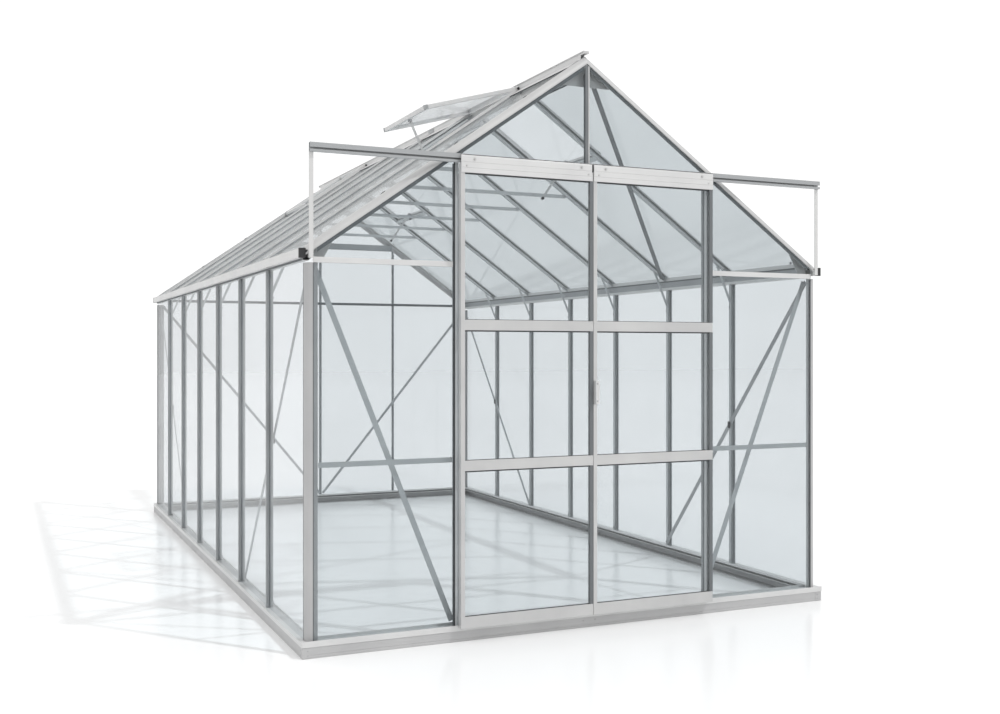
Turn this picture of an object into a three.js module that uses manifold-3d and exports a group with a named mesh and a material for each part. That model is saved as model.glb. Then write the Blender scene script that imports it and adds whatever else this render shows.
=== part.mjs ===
// Walk-in aluminium greenhouse: gable roof, double sliding doors hung from an overhead track,
// four roof vents on perforated stays, standing on a low base frame.
// Millimetres, +Z up. The door gable faces -Y. The origin is the centre of the bounding box's underside.
import * as THREE from "three";
import { mergeVertices } from "three/addons/utils/BufferGeometryUtils.js";
import Module from "manifold-3d";

const wasm = await Module();
wasm.setup();

// ---- Driving dimensions ----
const BAY = 620; // one glazing bay, bar centre to bar centre
const BAYS_LONG = 7;
const BAYS_WIDE = 4;
const CORNER_MARGIN = 45; // from the last bay line to the outer face of the corner
const HALF_WIDTH = (BAYS_WIDE * BAY) / 2 + CORNER_MARGIN;
const HALF_LENGTH = (BAYS_LONG * BAY) / 2 + CORNER_MARGIN;
const ROOF_ANGLE = THREE.MathUtils.degToRad(35);
const BAR_APEX_Z = 2540; // where the outer faces of the two rows of roof bars would meet
const GAP = 0.3; // between pieces that touch

// Heights
const BASE_TOP = 44.7;
const SILL_BOTTOM = 45;
const SILL_TOP = 63;
const UPSTAND_TOP = 72;
const EAVE_Z = 1583;
const BEAM_BOTTOM = 1593; // underside of the eave beams, on the side walls
const TRACK_BOTTOM = 2021;
const TRACK_TOP = 2058;
const TIE_Z = 2106;
const RIDGE_TOP = 2570;

// Depths, measured inwards from the outer faces of the corner posts
const BASE_PROUD = 17;
const SILL_PROUD = 20;
const GLASS_FACE = 1.2;
const GLASS_THICK = 4;
const BAR_FACE = 6;
const BAR_DEPTH = 17;
const JAMB_DEPTH = 28;
const POST_DEPTH = 24;
const UPSTAND_DEPTH = 38;

// Doors
const DOOR_GAP = 1; // half the gap where the two doors meet
const DOOR_EDGE = 634;
const DOOR_BOTTOM = 62;
const DOOR_TOP = 2016;
const DOOR_FRONT = 55; // the doors' front face stands this far in front of the corner posts
const DOOR_DEPTH = 24;
const PANEL_TOP = 2050;
const PANEL_HEIGHT = 73;
const HANDLE_REACH = 23;
const ROLLER_RADIUS = 11;
const ROLLER_WIDTH = 8;
const AXLE_RADIUS = 3;
const AXLE_POSITIONS = [60, 572];

// Roof vents
const VENT_BAYS = [1, 5]; // counted from the door gable, the first bay being 0
const VENT_LENGTH = 520;
const VENT_WIDTH = 614;
const VENT_HINGE_FOOT = 14; // the hinge line's foot on the bars' outer plane, from the middle
const VENT_HINGE_RISE = 8; // the hinge above that plane
const VENT_OPENING = 500;
const OPEN_VENT_ANGLE = THREE.MathUtils.degToRad(19.5);
const STAY_PIVOT = 486; // down the slope from the hinge
const STAY_DROP = 5; // the stay's pivot below the hinge's own plane
const STAY_LENGTH = 250;

const COS = Math.cos(ROOF_ANGLE);
const SIN = Math.sin(ROOF_ANGLE);
const SLOPE = Math.tan(ROOF_ANGLE);
const FRONT_REACH = HALF_LENGTH + DOOR_FRONT + HANDLE_REACH;
const REAR_REACH = HALF_LENGTH + SILL_PROUD;

// ---- Materials ----
function finish(color, roughness, metalness, opacity = 1) {
  return { color, roughness, metalness, opacity, transparent: opacity < 1 };
}
const SATIN = finish(0xd9dadb, 0.42, 0.85);
const BRIGHT = finish(0xe6e6e5, 0.38, 0.8);
const MILL = finish(0xa9adb0, 0.45, 0.9);
const DARK_MILL = finish(0x8e9397, 0.5, 0.9);
const GLAZING = finish(0xd3dcdf, 0.05, 0, 0.25);
const BLACK = finish(0x1b1c1d, 0.6, 0);

// ---- Solids ----
function shapeOf(points, holes = []) {
  const shape = new THREE.Shape(points.map(([x, y]) => new THREE.Vector2(x, y)));
  for (const hole of holes) {
    shape.holes.push(new THREE.Path(hole.map(([x, y]) => new THREE.Vector2(x, y))));
  }
  return shape;
}

function arc(cx, cy, radius, from, to, steps) {
  return Array.from({ length: steps + 1 }, (_, i) => {
    const angle = from + ((to - from) * i) / steps;
    return [cx + radius * Math.cos(angle), cy + radius * Math.sin(angle)];
  });
}

function circle(cx, cy, radius, sides) {
  return arc(cx, cy, radius, 0, 2 * Math.PI, sides).slice(0, -1);
}

function rectangle(x0, y0, x1, y1) {
  return [
    [x0, y0],
    [x1, y0],
    [x1, y1],
    [x0, y1],
  ];
}

// An outline in (a, b) swept along c. a, b and c are directions and at is where the sweep starts.
function prism(points, length, { a, b, c, at = [0, 0, 0], holes = [] }) {
  const geometry = new THREE.ExtrudeGeometry(shapeOf(points, holes), {
    depth: length,
    bevelEnabled: false,
    curveSegments: 1,
  });
  const matrix = new THREE.Matrix4().makeBasis(
    new THREE.Vector3(...a),
    new THREE.Vector3(...b),
    new THREE.Vector3(...c),
  );
  matrix.setPosition(...at);
  geometry.applyMatrix4(matrix);
  return closed(geometry, matrix.determinant() < 0);
}

// Only the positions, with shared vertices merged; turned round where the sweep was mirrored.
function closed(geometry, mirrored = false) {
  geometry.deleteAttribute("normal");
  geometry.deleteAttribute("uv");
  const merged = mergeVertices(geometry, 1e-4);
  if (mirrored) {
    const index = merged.index.array;
    for (let i = 0; i < index.length; i += 3) {
      const second = index[i + 1];
      index[i + 1] = index[i + 2];
      index[i + 2] = second;
    }
  }
  merged.computeVertexNormals();
  return merged;
}

function solidOf(geometry) {
  const mesh = new wasm.Mesh({
    numProp: 3,
    vertProperties: new Float32Array(geometry.attributes.position.array),
    triVerts: new Uint32Array(geometry.index.array),
  });
  return new wasm.Manifold(mesh);
}

function geometryOf(solid) {
  const mesh = solid.getMesh();
  const geometry = new THREE.BufferGeometry();
  geometry.setAttribute("position", new THREE.BufferAttribute(mesh.vertProperties, 3));
  geometry.setIndex(new THREE.BufferAttribute(mesh.triVerts, 1));
  geometry.computeVertexNormals();
  return geometry;
}

function join(pieces) {
  return geometryOf(pieces.map(solidOf).reduce((whole, piece) => whole.add(piece)));
}

function box(x0, y0, z0, x1, y1, z1) {
  return prism(rectangle(x0, y0, x1, y1), z1 - z0, {
    a: [1, 0, 0],
    b: [0, 1, 0],
    c: [0, 0, 1],
    at: [0, 0, z0],
  });
}

function node(name, geometry, look, parent) {
  const mesh = new THREE.Mesh(geometry, new THREE.MeshStandardMaterial(look));
  mesh.name = name;
  parent.add(mesh);
  return mesh;
}

// ---- Places ----
// The greenhouse is drawn about the middle of its own walls, then moved so that the box is centred.
const greenhouse = new THREE.Group();
const body = new THREE.Group();
body.position.y = (FRONT_REACH - REAR_REACH) / 2;
greenhouse.add(body);

// A wall's group: its X runs along the wall, its Y inwards from the corner posts' outer faces.
function wallGroup(side) {
  const quarter = { front: 0, right: 1, rear: 2, left: 3 }[side];
  const reach = quarter % 2 ? HALF_WIDTH : HALF_LENGTH;
  const group = new THREE.Group();
  const angle = (quarter * Math.PI) / 2;
  group.rotation.z = angle;
  group.position.set(reach * Math.sin(angle), -reach * Math.cos(angle), 0);
  body.add(group);
  return group;
}
const SIDES = ["front", "right", "rear", "left"];
const walls = Object.fromEntries(SIDES.map((side) => [side, wallGroup(side)]));

const ALONG_WALL = { a: [0, 1, 0], b: [0, 0, 1], c: [1, 0, 0] };
const UPRIGHT = { a: [1, 0, 0], b: [0, 1, 0], c: [0, 0, 1] };

// Height of the roof bars' outer plane at a distance from the middle.
function roofZ(x) {
  return BAR_APEX_Z - SLOPE * Math.abs(x);
}

function frameY(number) {
  return -HALF_LENGTH + CORNER_MARGIN + BAY * number;
}

// ---- Base and sills ----
// A rail along one wall with both ends mitred at 45 degrees.
function mitredRail(outline, halfAtPosts) {
  const geometry = prism(outline, 2, { ...ALONG_WALL, at: [-1, 0, 0] });
  const position = geometry.attributes.position;
  for (let i = 0; i < position.count; i++) {
    const reach = halfAtPosts - position.getY(i) - GAP / 2;
    position.setX(i, Math.sign(position.getX(i)) * reach);
  }
  geometry.computeVertexNormals();
  return geometry;
}

const BASE_OUTLINE = [
  [-BASE_PROUD, 0],
  [28, 0],
  [28, 3],
  [-BASE_PROUD + 3, 3],
  [-BASE_PROUD + 3, BASE_TOP - 3],
  [28, BASE_TOP - 3],
  [28, BASE_TOP],
  [-BASE_PROUD, BASE_TOP],
  [-BASE_PROUD, 14],
  [-BASE_PROUD + 1.2, 13],
  [-BASE_PROUD + 1.2, 10],
  [-BASE_PROUD, 9],
];

const WALL = 2.5; // thickness of the extruded sections

// guide is the height of the rib on the front sill that keeps the doors' shoes in line.
function sillOutline(guide) {
  return [
    [-SILL_PROUD, SILL_BOTTOM],
    [34, SILL_BOTTOM],
    [34, SILL_BOTTOM + WALL],
    [-SILL_PROUD + WALL, SILL_BOTTOM + WALL],
    [-SILL_PROUD + WALL, SILL_TOP - WALL],
    [UPSTAND_DEPTH, SILL_TOP - WALL],
    [UPSTAND_DEPTH, UPSTAND_TOP],
    [UPSTAND_DEPTH - WALL, UPSTAND_TOP],
    [UPSTAND_DEPTH - WALL, SILL_TOP],
    [-SILL_PROUD + WALL, SILL_TOP],
    [-SILL_PROUD + WALL, SILL_TOP + guide],
    [-SILL_PROUD, SILL_TOP + guide],
  ];
}

for (const side of SIDES) {
  const half = side === "front" || side === "rear" ? HALF_WIDTH : HALF_LENGTH;
  const guide = side === "front" ? 6 : 1;
  node("base_" + side, mitredRail(BASE_OUTLINE, half), DARK_MILL, walls[side]);
  node("sill_" + side, mitredRail(sillOutline(guide), half), BRIGHT, walls[side]);
}

// ---- Corner posts ----
const POST_RADIUS = 30;
const POST_SHELL = 3;
const POST_LEG = 52;

// A quarter-round shell with a glazing leg along each wall.
function cornerOutline(frontLeg, sideLeg) {
  const inner = POST_RADIUS - POST_SHELL;
  const legBack = BAR_FACE + WALL;
  const outside = arc(POST_RADIUS, POST_RADIUS, POST_RADIUS, Math.PI, 1.5 * Math.PI, 8);
  const inside = arc(POST_RADIUS, POST_RADIUS, inner, 1.47 * Math.PI, 1.03 * Math.PI, 6);
  return [
    ...outside,
    [POST_RADIUS, BAR_FACE],
    [frontLeg, BAR_FACE],
    [frontLeg, legBack],
    [inside[0][0], legBack],
    ...inside,
    [legBack, inside[0][0]],
    [legBack, sideLeg],
    [BAR_FACE, sideLeg],
    [BAR_FACE, POST_RADIUS],
  ];
}

const CORNERS = [
  ["front_left", -1, -1, 0],
  ["front_right", 1, -1, 1],
  ["rear_right", 1, 1, 2],
  ["rear_left", -1, 1, 3],
];
const POST_FOOT = SILL_TOP + GAP;
const POST_TOP = EAVE_Z - GAP;
const WALL_BAR_TOP = BEAM_BOTTOM - GAP;
for (const [place, sideX, sideY, quarter] of CORNERS) {
  const geometry = prism(cornerOutline(POST_LEG, POST_LEG), POST_TOP - POST_FOOT, UPRIGHT);
  const post = node("corner_post_" + place, geometry, BRIGHT, body);
  post.position.set(sideX * HALF_WIDTH, sideY * HALF_LENGTH, POST_FOOT);
  post.rotation.z = (quarter * Math.PI) / 2;
}

// ---- Bar sections ----
// A glazing bar: a wide outer flange for the glass, a web, and an inner flange for the bolts.
const BAR_OUTLINE = [
  [-12, 0],
  [12, 0],
  [12, WALL],
  [2, WALL],
  [2, BAR_DEPTH - 3],
  [8, BAR_DEPTH - 3],
  [8, BAR_DEPTH],
  [-8, BAR_DEPTH],
  [-8, BAR_DEPTH - 3],
  [-2, BAR_DEPTH - 3],
  [-2, WALL],
  [-12, WALL],
];

function teeOutline(width, depth, web) {
  return [
    [-width / 2, 0],
    [width / 2, 0],
    [width / 2, WALL],
    [web / 2, WALL],
    [web / 2, depth],
    [-web / 2, depth],
    [-web / 2, WALL],
    [-width / 2, WALL],
  ];
}

function angleOutline(leg, height) {
  return [
    [0, 0],
    [leg, 0],
    [leg, WALL],
    [WALL, WALL],
    [WALL, height],
    [0, height],
  ];
}

// ---- Portal frames: two wall bars, two roof bars, a tie and two knee braces, bolted together ----
const BAR_SEAT = HALF_WIDTH - UPSTAND_DEPTH + 1.7; // where the roof bars' feet meet the eave
const RIDGE_HALF = 10;
const KNEE_FOOT = [HALF_WIDTH - 18, 1490];
const KNEE_HEAD = [HALF_WIDTH - 113, 1706];
const TIE_HALF = 580;
const TIE_LEG = 18;

// A point on the roof: t down the slope and n above the bars' outer plane, from the vents' hinge line.
function slopePoint(side, t, n) {
  const x = VENT_HINGE_FOOT + t * COS + n * SIN;
  return [side * x, roofZ(VENT_HINGE_FOOT) - t * SIN + n * COS];
}

function slopeSweep(side, y, along) {
  const [x, z] = slopePoint(side, 0, 0);
  return {
    a: [side * COS, 0, -SIN],
    b: [side * SIN, 0, COS],
    c: [0, along, 0],
    at: [x, y, z],
  };
}

function kneeBrace(side) {
  const [footX, footZ] = KNEE_FOOT;
  const [headX, headZ] = KNEE_HEAD;
  const length = Math.hypot(headX - footX, headZ - footZ);
  const along = [(side * (headX - footX)) / length, 0, (headZ - footZ) / length];
  return prism(rectangle(-2.5, -6, 2.5, 6), length, {
    a: [0, 1, 0],
    b: [along[2], 0, -along[0]],
    c: along,
    at: [side * footX, 0, footZ],
  });
}

// The cross bar that carries a vent's lower edge, from this frame's web to the next frame.
function ventSill(side) {
  const outline = rectangle(VENT_OPENING + 2, -BAR_DEPTH, VENT_OPENING + 26, -1);
  return prism(outline, BAY - 12 - GAP, slopeSweep(side, 0, 1));
}

function portalFrame(carriesVents) {
  const pieces = [];
  for (const side of [-1, 1]) {
    const wallBar = prism(BAR_OUTLINE, WALL_BAR_TOP - POST_FOOT, {
      a: [0, 1, 0],
      b: [-side, 0, 0],
      c: [0, 0, 1],
      at: [side * (HALF_WIDTH - BAR_FACE), 0, POST_FOOT],
    });
    const roofBar = prism(BAR_OUTLINE, BAR_SEAT - RIDGE_HALF - GAP, {
      a: [0, 1, 0],
      b: [0, 0, -1 / COS],
      c: [-side, 0, SLOPE],
      at: [side * BAR_SEAT, 0, roofZ(BAR_SEAT)],
    });
    pieces.push(wallBar, roofBar, kneeBrace(side));
    if (carriesVents) pieces.push(ventSill(side));
  }
  const tie = prism(angleOutline(TIE_LEG, TIE_LEG), 2 * TIE_HALF, {
    ...ALONG_WALL,
    at: [-TIE_HALF, 0, TIE_Z],
  });
  return join([...pieces, tie]);
}

for (let number = 1; number < BAYS_LONG; number++) {
  const carriesVents = VENT_BAYS.includes(number);
  const frame = node("portal_frame_" + number, portalFrame(carriesVents), MILL, body);
  frame.position.y = frameY(number);
}

// ---- Eaves and ridge ----
const GUTTER_REACH = 27;
const GUTTER_BOTTOM = BEAM_BOTTOM + 8;
const GUTTER_LIP = GUTTER_BOTTOM + 36.5;
const BEAM_BACK = 36;
const BEAM_SEAT = 24; // the flat underside over the wall bars, chamfered from there to the back
const BEAM_CHAMFER = BEAM_BACK - BEAM_SEAT;
const GUTTER_HALF = HALF_LENGTH - 9;
const BEAM_HALF = HALF_LENGTH - 45; // between the verges

// The eave beam is a hollow section under the roof bars' feet with the gutter along its outer face.
function eaveGutter(side) {
  const topAt = (depth) => roofZ(HALF_WIDTH - depth) - 0.6;
  const outline = [
    [-GUTTER_REACH, GUTTER_BOTTOM],
    [-WALL, GUTTER_BOTTOM],
    [-WALL, BEAM_BOTTOM],
    [BEAM_SEAT, BEAM_BOTTOM],
    [BEAM_BACK, BEAM_BOTTOM + BEAM_CHAMFER],
    [BEAM_BACK, topAt(BEAM_BACK)],
    [-WALL, topAt(-WALL)],
    [-WALL, GUTTER_BOTTOM + WALL],
    [-GUTTER_REACH + WALL, GUTTER_BOTTOM + WALL],
    [-GUTTER_REACH + WALL, GUTTER_LIP],
    [-GUTTER_REACH, GUTTER_LIP],
  ];
  const hollow = [
    [0, BEAM_BOTTOM + WALL],
    [BEAM_SEAT - 1, BEAM_BOTTOM + WALL],
    [BEAM_BACK - WALL, BEAM_BOTTOM + BEAM_CHAMFER + 1],
    [BEAM_BACK - WALL, topAt(BEAM_BACK - WALL) - 3],
    [0, topAt(0) - 3],
  ];
  const channel = [
    [-GUTTER_REACH, GUTTER_BOTTOM],
    [0, GUTTER_BOTTOM],
    [0, GUTTER_LIP],
    [-WALL, GUTTER_LIP],
    [-WALL, GUTTER_BOTTOM + WALL],
    [-GUTTER_REACH + WALL, GUTTER_BOTTOM + WALL],
    [-GUTTER_REACH + WALL, GUTTER_LIP],
    [-GUTTER_REACH, GUTTER_LIP],
  ];
  const stretch = (section, half, holes) =>
    prism(section, 2 * half, {
      a: [-side, 0, 0],
      b: [0, 0, 1],
      c: [0, 1, 0],
      at: [side * HALF_WIDTH, -half, 0],
      holes,
    });
  return join([stretch(outline, BEAM_HALF, [hollow]), stretch(channel, GUTTER_HALF, [])]);
}
node("eave_gutter_left", eaveGutter(-1), BRIGHT, body);
node("eave_gutter_right", eaveGutter(1), BRIGHT, body);

const RIDGE_CAP_HALF = 15;
const RIDGE_BODY_BOTTOM = 2496;
const VERGE_BACK = 44; // how far the verges reach in over the roof glass
const RIDGE_BODY_END = HALF_LENGTH - VERGE_BACK - 0.5;
const RIDGE_CAP_END = HALF_LENGTH - 12;
const RIDGE_CAP_FOOT = RIDGE_TOP - 12;

function capOutline(bottom) {
  const under = RIDGE_TOP - 3.5;
  return [
    [-RIDGE_CAP_HALF, under],
    [-RIDGE_HALF, under],
    [-RIDGE_HALF, bottom],
    [-RIDGE_HALF + WALL, bottom],
    [-RIDGE_HALF + WALL, under - 3],
    [RIDGE_HALF - WALL, under - 3],
    [RIDGE_HALF - WALL, bottom],
    [RIDGE_HALF, bottom],
    [RIDGE_HALF, under],
    [RIDGE_CAP_HALF, under],
    [RIDGE_CAP_HALF, RIDGE_TOP],
    [-RIDGE_CAP_HALF, RIDGE_TOP],
  ];
}

function ridgeStretch(outline, end) {
  return prism(outline, 2 * end, {
    a: [1, 0, 0],
    b: [0, 0, 1],
    c: [0, 1, 0],
    at: [0, -end, 0],
  });
}
const ridge = join([
  ridgeStretch(capOutline(RIDGE_BODY_BOTTOM), RIDGE_BODY_END),
  ridgeStretch(capOutline(RIDGE_CAP_FOOT), RIDGE_CAP_END),
]);
node("ridge", ridge, BRIGHT, body);

// ---- Gable arches: a pair of verge rafters with plates at the apex and the eaves ----
const VERGE_LEG = 46;
const VERGE_LEG_END = HALF_WIDTH - 47; // clear of the eave bars
const PLATE_FRONT = 31.5;
const PLATE_BACK = 34.5;
const ARCH_HALF = HALF_WIDTH - 1;
const APEX_PLATE_Z = 2413;
const FOOT_PLATE_Z = EAVE_Z + 24;
const VERGE_CORNER_Z = BAR_APEX_Z + BAR_FACE / COS;

function plate(outline) {
  return prism(outline, PLATE_BACK - PLATE_FRONT, {
    a: [1, 0, 0],
    b: [0, 0, 1],
    c: [0, 1, 0],
    at: [0, PLATE_FRONT, 0],
  });
}

// Each rafter has the corner posts' rounded section, with a longer leg behind the gable glass.
function gableArch() {
  const pieces = [];
  const seam = 0.5;
  const vergeLeg = rectangle(BAR_FACE, POST_RADIUS - 3, BAR_FACE + WALL, VERGE_LEG);
  const plateTop = 8;
  for (const side of [-1, 1]) {
    const sweep = {
      a: [0, 1, 0],
      b: [0, 0, -1 / COS],
      c: [side, 0, -SLOPE],
      at: [-side * seam, 0, VERGE_CORNER_Z + SLOPE * seam],
    };
    pieces.push(prism(cornerOutline(VERGE_BACK, POST_RADIUS + 1), ARCH_HALF + seam, sweep));
    pieces.push(prism(vergeLeg, VERGE_LEG_END + seam, sweep));
    const outer = HALF_WIDTH - BEAM_BACK - 0.6;
    const inner = outer - 98;
    pieces.push(
      plate([
        [side * outer, FOOT_PLATE_Z],
        [side * outer, roofZ(outer) + plateTop],
        [side * inner, roofZ(inner) + plateTop],
        [side * inner, roofZ(inner) - BEAM_BACK],
        [side * (outer - 48), FOOT_PLATE_Z],
      ]),
    );
  }
  const apex = BAR_APEX_Z + plateTop;
  const spread = (apex - APEX_PLATE_Z) / SLOPE;
  pieces.push(
    plate([
      [-spread, APEX_PLATE_Z],
      [spread, APEX_PLATE_Z],
      [0, apex],
    ]),
  );
  return join(pieces);
}
node("gable_arch_front", gableArch(), BRIGHT, walls.front);
node("gable_arch_rear", gableArch(), BRIGHT, walls.rear);

// ---- Front gable bars ----
const JAMB_INNER = 623;
const JAMB_WIDTH = 24;
const HEADER_FACE = 23.2;
const HEADER_BACK = BAR_FACE + JAMB_DEPTH;
const EAVE_BAR_HEIGHT = 23;

function gablePost(outline, x, foot, top) {
  return prism(outline, top - foot, { ...UPRIGHT, at: [x, BAR_FACE, foot] });
}

const JAMB_OUTLINE = teeOutline(JAMB_WIDTH, JAMB_DEPTH, 5);
for (const [place, side] of [
  ["left", -1],
  ["right", 1],
]) {
  const jambX = side * (JAMB_INNER + JAMB_WIDTH / 2);
  node("door_jamb_" + place, gablePost(JAMB_OUTLINE, jambX, POST_FOOT, 2020), MILL, walls.front);
  const inner = JAMB_INNER + JAMB_WIDTH + 1;
  const outer = HALF_WIDTH - BEAM_BACK - 1;
  const eaveBar = prism(teeOutline(EAVE_BAR_HEIGHT, 22, 4), outer - inner, {
    a: [0, 0, 1],
    b: [0, 1, 0],
    c: [1, 0, 0],
    at: [side < 0 ? -outer : inner, BAR_FACE, EAVE_Z + EAVE_BAR_HEIGHT / 2],
  });
  node("front_eave_bar_" + place, eaveBar, BRIGHT, walls.front);
}

const HEADER_OUTLINE = [
  [-HEADER_FACE, 2030],
  [-HEADER_FACE + WALL, 2030],
  [-HEADER_FACE + WALL, TRACK_TOP - WALL],
  [HEADER_BACK - WALL, TRACK_TOP - WALL],
  [HEADER_BACK - WALL, 2030],
  [HEADER_BACK, 2030],
  [HEADER_BACK, TRACK_TOP],
  [-HEADER_FACE, TRACK_TOP],
];
const HEADER_HALF = 597; // between the legs of the two verges
const header = prism(HEADER_OUTLINE, 2 * HEADER_HALF, { ...ALONG_WALL, at: [-HEADER_HALF, 0, 0] });
node("door_header", header, MILL, walls.front);
const POST_OUTLINE = teeOutline(20, POST_DEPTH, 4);
node("king_post", gablePost(POST_OUTLINE, 0, TRACK_TOP + 4, 2469), MILL, walls.front);

// ---- Rear gable bars ----
const REAR_POSTS = [
  ["left", 1, 2034],
  ["centre", 0, 2469],
  ["right", -1, 2034],
];
for (const [place, bay, top] of REAR_POSTS) {
  node("rear_post_" + place, gablePost(POST_OUTLINE, bay * BAY, POST_FOOT, top), MILL, walls.rear);
}

function rearRail(half, bottom, height) {
  return prism(angleOutline(18, height), 2 * half, {
    ...ALONG_WALL,
    at: [-half, PLATE_BACK + 0.4, bottom],
  });
}
node("rear_eave_bar", rearRail(HALF_WIDTH - BEAM_BACK - 1, EAVE_Z + 22, 20), MILL, walls.rear);
node("rear_cross_bar", rearRail(600, 2057, 50), MILL, walls.rear);

// ---- Glazing: one sheet stands for the row of panes on each face ----
const GLASS_HALF_WIDTH = HALF_WIDTH - 32;
const GLASS_FOOT = SILL_TOP + 1;
const OPENING_HALF = JAMB_INNER + 3;

function gableGlass(withDoorway) {
  const apexZ = VERGE_CORNER_Z - (POST_RADIUS + 1) / COS;
  const edgeZ = apexZ - SLOPE * GLASS_HALF_WIDTH;
  const doorway = withDoorway
    ? [
        [-OPENING_HALF, GLASS_FOOT],
        [-OPENING_HALF, TRACK_TOP + 2],
        [OPENING_HALF, TRACK_TOP + 2],
        [OPENING_HALF, GLASS_FOOT],
      ]
    : [];
  const outline = [
    [-GLASS_HALF_WIDTH, GLASS_FOOT],
    ...doorway,
    [GLASS_HALF_WIDTH, GLASS_FOOT],
    [GLASS_HALF_WIDTH, edgeZ],
    [0, apexZ],
    [-GLASS_HALF_WIDTH, edgeZ],
  ];
  return prism(outline, GLASS_THICK, {
    a: [1, 0, 0],
    b: [0, 0, 1],
    c: [0, 1, 0],
    at: [0, GLASS_FACE, 0],
  });
}
node("glazing_front", gableGlass(true), GLAZING, walls.front);
node("glazing_rear", gableGlass(false), GLAZING, walls.rear);

const wallGlassHalf = HALF_LENGTH - 32;
for (const side of ["left", "right"]) {
  const sheet = box(
    -wallGlassHalf,
    GLASS_FACE,
    GLASS_FOOT,
    wallGlassHalf,
    GLASS_FACE + GLASS_THICK,
    BEAM_BOTTOM - 0.5,
  );
  node("glazing_" + side, sheet, GLAZING, walls[side]);
}

// A roof sheet has a notch at the ridge for each vent.
const ROOF_GLASS_END = HALF_LENGTH - 36;
const ROOF_GLASS_TOP = -2;
const ROOF_GLASS_EAVE = (HALF_WIDTH + 12 - VENT_HINGE_FOOT) / COS;
const NOTCH_HALF = 298;

function ventY(bay) {
  return frameY(bay + 0.5);
}

function roofGlass(side) {
  const notches = VENT_BAYS.flatMap((bay) => [
    [ventY(bay) - NOTCH_HALF, ROOF_GLASS_TOP],
    [ventY(bay) - NOTCH_HALF, VENT_OPENING],
    [ventY(bay) + NOTCH_HALF, VENT_OPENING],
    [ventY(bay) + NOTCH_HALF, ROOF_GLASS_TOP],
  ]);
  const outline = [
    [-ROOF_GLASS_END, ROOF_GLASS_TOP],
    ...notches,
    [ROOF_GLASS_END, ROOF_GLASS_TOP],
    [ROOF_GLASS_END, ROOF_GLASS_EAVE],
    [-ROOF_GLASS_END, ROOF_GLASS_EAVE],
  ];
  const [x, z] = slopePoint(side, 0, 0.5);
  return prism(outline, GLASS_THICK, {
    a: [0, 1, 0],
    b: [side * COS, 0, -SIN],
    c: [side * SIN, 0, COS],
    at: [x, 0, z],
  });
}
node("roof_glazing_left", roofGlass(-1), GLAZING, body);
node("roof_glazing_right", roofGlass(1), GLAZING, body);

// ---- Door track: a channel open to the front by a slot, with a strut down to each eave ----
const TRACK_HALF = 1277;
const TRACK_BACK = 23.5;
const TRACK_WIDTH = 17;
const STRUT_WIDTH = 18;
const STRUT_FOOT = 1600;
const STRUT_CLEAR = 8.3; // from the foot to the corner posts' outer faces

function doorTrack() {
  const back = -TRACK_BACK;
  const front = back - TRACK_WIDTH;
  const outline = [
    [back, TRACK_BOTTOM],
    [back, TRACK_TOP],
    [front, TRACK_TOP],
    [front, TRACK_BOTTOM + 17.5],
    [front + WALL, TRACK_BOTTOM + 17.5],
    [front + WALL, TRACK_TOP - WALL],
    [back - WALL, TRACK_TOP - WALL],
    [back - WALL, TRACK_BOTTOM + WALL],
    [front + WALL, TRACK_BOTTOM + WALL],
    [front + WALL, TRACK_BOTTOM + 9.5],
    [front, TRACK_BOTTOM + 9.5],
    [front, TRACK_BOTTOM],
  ];
  const pieces = [prism(outline, 2 * TRACK_HALF, { ...ALONG_WALL, at: [-TRACK_HALF, 0, 0] })];
  for (const side of [-1, 1]) {
    const left = side < 0 ? -TRACK_HALF : TRACK_HALF - STRUT_WIDTH;
    const right = left + STRUT_WIDTH;
    pieces.push(box(left, back - 1.5, STRUT_FOOT, right, back + 2.5, TRACK_TOP));
    pieces.push(box(left, back + 1, STRUT_FOOT, right, -STRUT_CLEAR, STRUT_FOOT + 18));
  }
  return join(pieces);
}
node("door_track", doorTrack(), MILL, walls.front);

// ---- Sliding doors ----
const NARROW_STILE = 10;
const WIDE_STILE = 18;
const stileOutline = (width) => [
  [0, 0],
  [width, 0],
  [width, 3],
  [4, 3],
  [4, DOOR_DEPTH - 3],
  [12, DOOR_DEPTH - 3],
  [12, DOOR_DEPTH],
  [0, DOOR_DEPTH],
];
const BOTTOM_RAIL = [
  [0, 0],
  [49, 0],
  [49, 3],
  [3, 3],
  [3, DOOR_DEPTH],
  [0, DOOR_DEPTH],
];
const TOP_RAIL = [
  [0, 0],
  [39, 0],
  [39, DOOR_DEPTH],
  [36, DOOR_DEPTH],
  [36, 3],
  [0, 3],
];
const MID_RAIL = rectangle(0, 0, 44, 6);
const DOOR_WIDTH = DOOR_EDGE - DOOR_GAP;
const RAILS = [
  [BOTTOM_RAIL, DOOR_BOTTOM],
  [MID_RAIL, 723],
  [MID_RAIL, 1315],
  [TOP_RAIL, DOOR_TOP - 39],
];
const SHOE_POSITIONS = [60, 513];
const SHOE_WIDTH = 60;

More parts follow.
